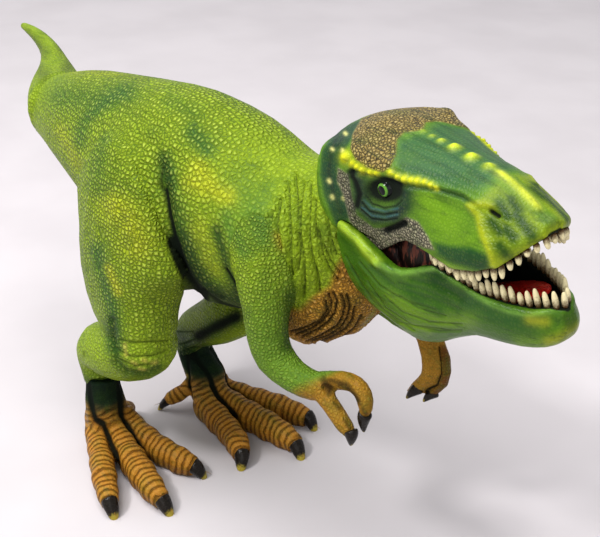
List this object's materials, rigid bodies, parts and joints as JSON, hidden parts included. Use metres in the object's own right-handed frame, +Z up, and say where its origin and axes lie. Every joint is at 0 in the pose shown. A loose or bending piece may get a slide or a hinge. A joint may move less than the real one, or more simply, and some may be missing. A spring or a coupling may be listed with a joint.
{
  "type": "toy dinosaur figure",
  "caption": "Standing two-legged toy dinosaur figure of painted hard plastic with a hinged lower jaw, a large head, short arms and clawed feet.",
  "frame": {"origin": "on the ground under the middle of the bounding box", "axes": "+X towards the snout, +Y towards the animal's left side, +Z up"},
  "size_m": [0.288, 0.0792, 0.1332],
  "materials": {
    "torso": "painted pebbled hide, satin",
    "tail": "painted hide, satin",
    "right_leg": "painted pebbled hide, satin",
    "left_leg": "painted pebbled hide, satin",
    "right_foot": "painted, banded, satin",
    "left_foot": "painted, banded, satin",
    "right_arm": "painted hide, satin",
    "left_arm": "painted hide, satin",
    "head": "painted, pitted and bumpy, satin",
    "mouth_lining": "painted, satin",
    "jaw_pin": "plain wire pin",
    "lower_jaw": "painted, streaked, satin",
    "tongue": "painted, glossy"
  },
  "bodies": {
    "figure": {"torso": "torso", "tail": "tail", "head": "head", "mouth_lining": "mouth_lining", "jaw_pin": "jaw_pin", "right_leg": "right_leg", "left_leg": "left_leg", "right_foot": "right_foot", "left_foot": "left_foot", "right_arm": "right_arm", "left_arm": "left_arm"},
    "jaw": {"lower_jaw": "lower_jaw", "tongue": "tongue"}
  },
  "joints": [
    {"name": "jaw_hinge", "type": "hinge", "parent": "figure", "child": "jaw", "pos_m": [0.08816, 0.01737, 0.10293], "axis": [0.0767, 0.9794, 0.187], "range_deg": [-8, 6]}
  ]
}
